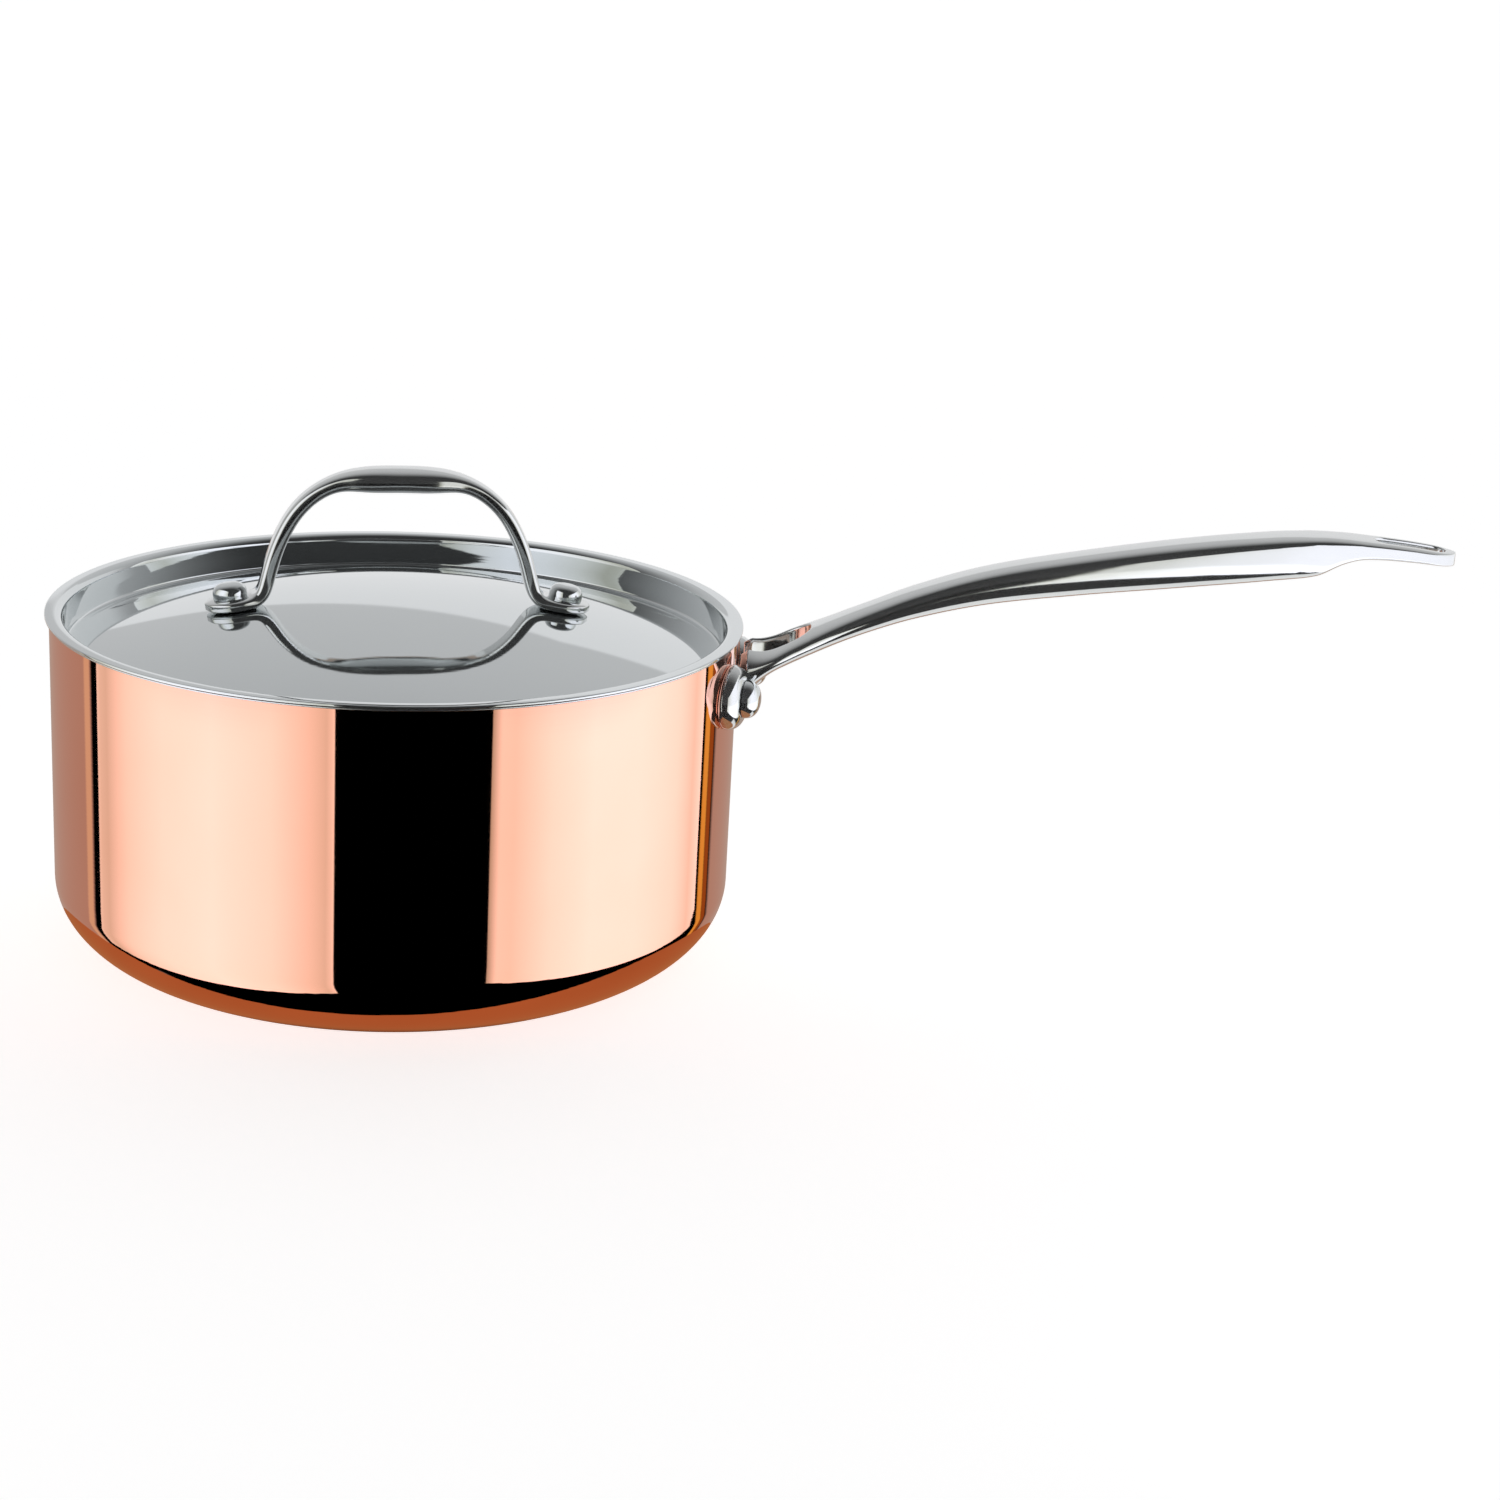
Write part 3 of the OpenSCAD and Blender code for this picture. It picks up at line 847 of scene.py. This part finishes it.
def lid_rivet_profile():
    """Head above the foot, shank through foot and sheet, and a low head underneath."""
    top, low = FOOT_T + SEAT_GAP, -LID_T - SEAT_GAP
    head = head_line(4.9, top, 4.2, 3.2)
    under = head_line(4.4, 0.0, 1.4, 2.6)
    under = np.stack([under[:, 0], low - under[:, 1]], 1)[::-1]
    return np.concatenate([head, [(SHANK_R, top), (SHANK_R, low)], under])


for name, node, side in (("lid_rivet_a", "lid_rivet_left", -1),
                         ("lid_rivet_b", "lid_rivet_right", 1)):
    pts, fcs = rivet_points(lid_rivet_profile(), dome_place(side))
    add_piece(name, close_mesh(name, pts, fcs), rivet_metal, "lid", node)

# %% [markdown]
# Mirror metal shows its surroundings more than itself, so this stage is a set
# of shapes to be reflected, and it holds more than plain studio light. First
# comes the floor: pale, plain, with a glow of its own, and left out of
# reflections, which keeps the wall's lower half clean.

# %% Floor
def flat_plate(name, corners, finish):
    """One flat face between its corners, given its finish and put in the scene."""
    mesh = bpy.data.meshes.new(name)
    mesh.from_pydata([tuple(c) for c in corners], [], [tuple(range(len(corners)))])
    plate = bpy.data.objects.new(name, mesh)
    mesh.materials.append(finish)
    bpy.context.scene.collection.objects.link(plate)
    return plate


def floor_paper(glow_strength=0.80):
    """Pale paper with a faint grain, lit from within."""
    made = bpy.data.materials.new("floor_paper")
    made.use_nodes = True
    tree = made.node_tree
    shader = tree.nodes["Principled BSDF"]
    grain = noise(along(tree), 700, 2, 0.5)
    feed(tree, shader, "Base Color", grain.mix((0.8, 0.8, 0.8), (0.77, 0.77, 0.77)))
    shader.inputs["Roughness"].default_value = 0.9
    shader.inputs["Emission Color"].default_value = (1, 1, 1, 1)
    shader.inputs["Emission Strength"].default_value = glow_strength
    return made


FLOOR = 30.0
floor = flat_plate("floor", [(-FLOOR, -FLOOR, 0), (FLOOR, -FLOOR, 0), (FLOOR, FLOOR, 0),
                             (-FLOOR, FLOOR, 0)], floor_paper())
floor.visible_glossy = False
print(f"floor: {2 * FLOOR:.0f} m square")

# %% [markdown]
# A thing that only gives light needs one Emission node. This helper makes such
# a material from a colour and a strength, which may both be wires.

# %% Light-giving cloth
def lamp_cloth(name, paint):
    """A material of pure emission; paint(tree) gives its colour and its strength."""
    made = bpy.data.materials.new(name)
    made.use_nodes = True
    tree = made.node_tree
    tree.nodes.clear()
    colour, strength = paint(tree)
    lamp = add_node(tree, "ShaderNodeEmission", {"Color": colour, "Strength": strength})
    out = tree.nodes.new("ShaderNodeOutputMaterial")
    tree.links.new(lamp.socket, out.inputs["Surface"])
    return made


def hide_but_reflect(plate):
    """Leaves a plate out of everything but reflections."""
    plate.visible_camera = plate.visible_shadow = plate.visible_diffuse = False
    plate.visible_transmission = plate.visible_volume_scatter = False


def turned(x, y, z):
    """A place given across and away from the camera, carried into the pan's own axes."""
    t = math.radians(VIEW_TURN)
    return (x * math.cos(t) - y * math.sin(t), x * math.sin(t) + y * math.cos(t), z)

# %% [markdown]
# Two upright panels stand either side of a dark gap. Only reflections see them,
# and each draws one long highlight down the wall. Their places and the steps of
# their brightness are set for this one view, not for studio light in general.

# %% Soft boxes
def glow(stops):
    """Brightness that follows a ramp from one upright side to the other, a little bluer
    where it is brighter, and dimmer above the table than below it."""
    def paint(tree):
        u = split(add_node(tree, "ShaderNodeTexCoord", out="UV"))[0]
        height = split(add_node(tree, "ShaderNodeTexCoord", out="Object"))[2]
        cloth = add_node(tree, "ShaderNodeValToRGB", {"Fac": u},
                         stops=[(at, (v, v, v * (0.70 + 0.44 * v), 1)) for at, v in stops])
        return cloth, height.ease(0.012, 0.045, 2.0, 1.56)
    return paint


def soft_box(name, start, end, lows, tops, finish):
    """An upright panel between two places on the table, with its own heights at each end."""
    plate = flat_plate(name, [turned(*start, lows[0]), turned(*end, lows[1]),
                              turned(*end, tops[1]), turned(*start, tops[0])], finish)
    uv = plate.data.uv_layers.new(name="box")
    uv.data.foreach_set("uv", np.array([0, 0, 1, 0, 1, 1, 0, 1], float))
    hide_but_reflect(plate)
    print(f"{name}: {math.dist(start, end):.2f} m wide")
    return plate


LEFT_STEPS = [(0.0, 0.56), (0.03, 0.43), (0.07, 0.50), (0.2, 0.70), (0.36, 0.81),
              (0.52, 0.76), (0.7, 0.62), (0.87, 0.40), (0.95, 0.43), (1.0, 0.5)]
RIGHT_STEPS = [(0.0, 0.26), (0.025, 0.60), (0.06, 0.58), (0.15, 0.76), (0.25, 0.86),
               (0.39, 0.845), (0.6, 0.73), (0.8, 0.53), (0.92, 0.62), (1.0, 0.68)]
soft_box("left_box", (-0.066, -0.392), (-0.508, 0.064), (-0.22, -0.24), (0.40, 0.46),
         lamp_cloth("left_cloth", glow(LEFT_STEPS)))
soft_box("right_box", (0.203, -0.300), (0.5485, 0.370), (-0.10, -0.205), (0.16, 0.44),
         lamp_cloth("right_cloth", glow(RIGHT_STEPS)))

# %% [markdown]
# Under the pan lies an oval of copper-brown paper. Only reflections see it:
# it gives the rounded corner its warm lower edge.

# %% Warm paper under the pan
def warm_cloud(tree):
    """Two browns in slow clouds, dimmer towards the oval's middle."""
    cloud = noise(along(tree), 9, 2, 0.5)
    ring = round_and_height(tree)[0]
    return cloud.mix((0.46, 0.19, 0.075), (0.34, 0.13, 0.045)), ring.ease(0.025, 0.07, 0.35, 1.05)


def oval_plate(name, centre, half, z, finish, steps=96):
    """A flat oval seen only in reflections: x follows the cosine and y the sine of one turn."""
    a = np.linspace(0, 2 * np.pi, steps, endpoint=False)
    plate = flat_plate(name, [turned(centre[0] + half[0] * math.cos(t),
                                     centre[1] + half[1] * math.sin(t), z) for t in a], finish)
    hide_but_reflect(plate)
    print(f"{name}: {2 * half[0]:.2f} x {2 * half[1]:.2f} m")
    return plate


oval_plate("warm_oval", (0.0, 0.003), (0.160, 0.103), -0.03, lamp_cloth("warm_paper", warm_cloud))

# %% [markdown]
# All else that the metal mirrors is painted by direction: a pale sky behind,
# black low down towards the camera, brown at the sides, and three narrow warm
# bands whose reflections are the orange and gold lines at the wall's edges. The
# directions are fixed to the pan, so they don't slide in other views. The
# camera itself sees plain white.

# %% Surroundings
WHITE = (1.0, 1.0, 1.0)
# Each band: the bearings, in radians, between which it comes in and goes out, and its colour.
BANDS = [((2.325, 2.345), (2.42, 2.39), (0.78, 0.44, 0.07)),
         ((2.40, 2.42), (2.48, 2.46), (0.30, 0.09, 0.015)),
         ((-1.94, -1.96), (-2.03, -2.0), (0.68, 0.55, 0.38))]


def surroundings():
    """Brightness by direction. Above the table's edge it eases from dark in front to pale
    behind, with a paler part under a slanting line. Below it is black in front, brown at
    the sides with three narrow bands, and white straight down behind."""
    world = bpy.data.worlds.new("studio")
    bpy.context.scene.world = world
    world.use_nodes = True
    tree = world.node_tree
    tree.nodes.clear()
    x, y, z = split(add_node(tree, "ShaderNodeTexCoord", out="Generated"))
    t = math.radians(VIEW_TURN)
    back, side = y * math.cos(t) - x * math.sin(t), x * math.cos(t) + y * math.sin(t)
    sky = back.ease(-0.35, 0.95, 0.04, 0.63)
    edge = side.sum("MINIMUM", side, 0.03) * 0.55 + 0.39 - z
    sky = sky + edge.ease(-0.004, 0.012, 0.0, 0.24) * back.ease(0.5, 0.7)
    bearing = side.sum("ARCTAN2", side, back * -1.0)
    flank = bearing.sum("MAXIMUM", bearing.ease(2.47, 2.53), bearing.ease(-1.92, -1.95))
    brown = z.ease(-0.5, -0.75).mix((0.45, 0.35, 0.295), (0.42, 0.2, 0.08))
    low = flank.mix((0.0, 0.0, 0.0), brown)
    for starts, ends, colour in BANDS:
        low = (bearing.ease(*starts) * bearing.ease(*ends)).mix(low, colour)
    deep = z.ease(-0.66, -0.74) * back.ease(0.04, 0.12)
    low = deep.mix(low, (0.95, 0.95, 0.95))
    high = vector(tree, sky, sky, sky * 1.01)
    tone = z.ease(-0.17, -0.15).mix(low, high)
    seen = add_node(tree, "ShaderNodeLightPath", out="Is Camera Ray")
    tone = seen.mix(tone, WHITE)
    shade = add_node(tree, "ShaderNodeBackground", {"Color": tone, "Strength": 1.0})
    out = tree.nodes.new("ShaderNodeOutputWorld")
    tree.links.new(shade.socket, out.inputs["Surface"])
    return world


print("surroundings:", surroundings().name, "with", len(BANDS), "bands")
bpy.context.scene.view_settings.view_transform = "Standard"
bpy.context.scene.view_settings.look = "None"
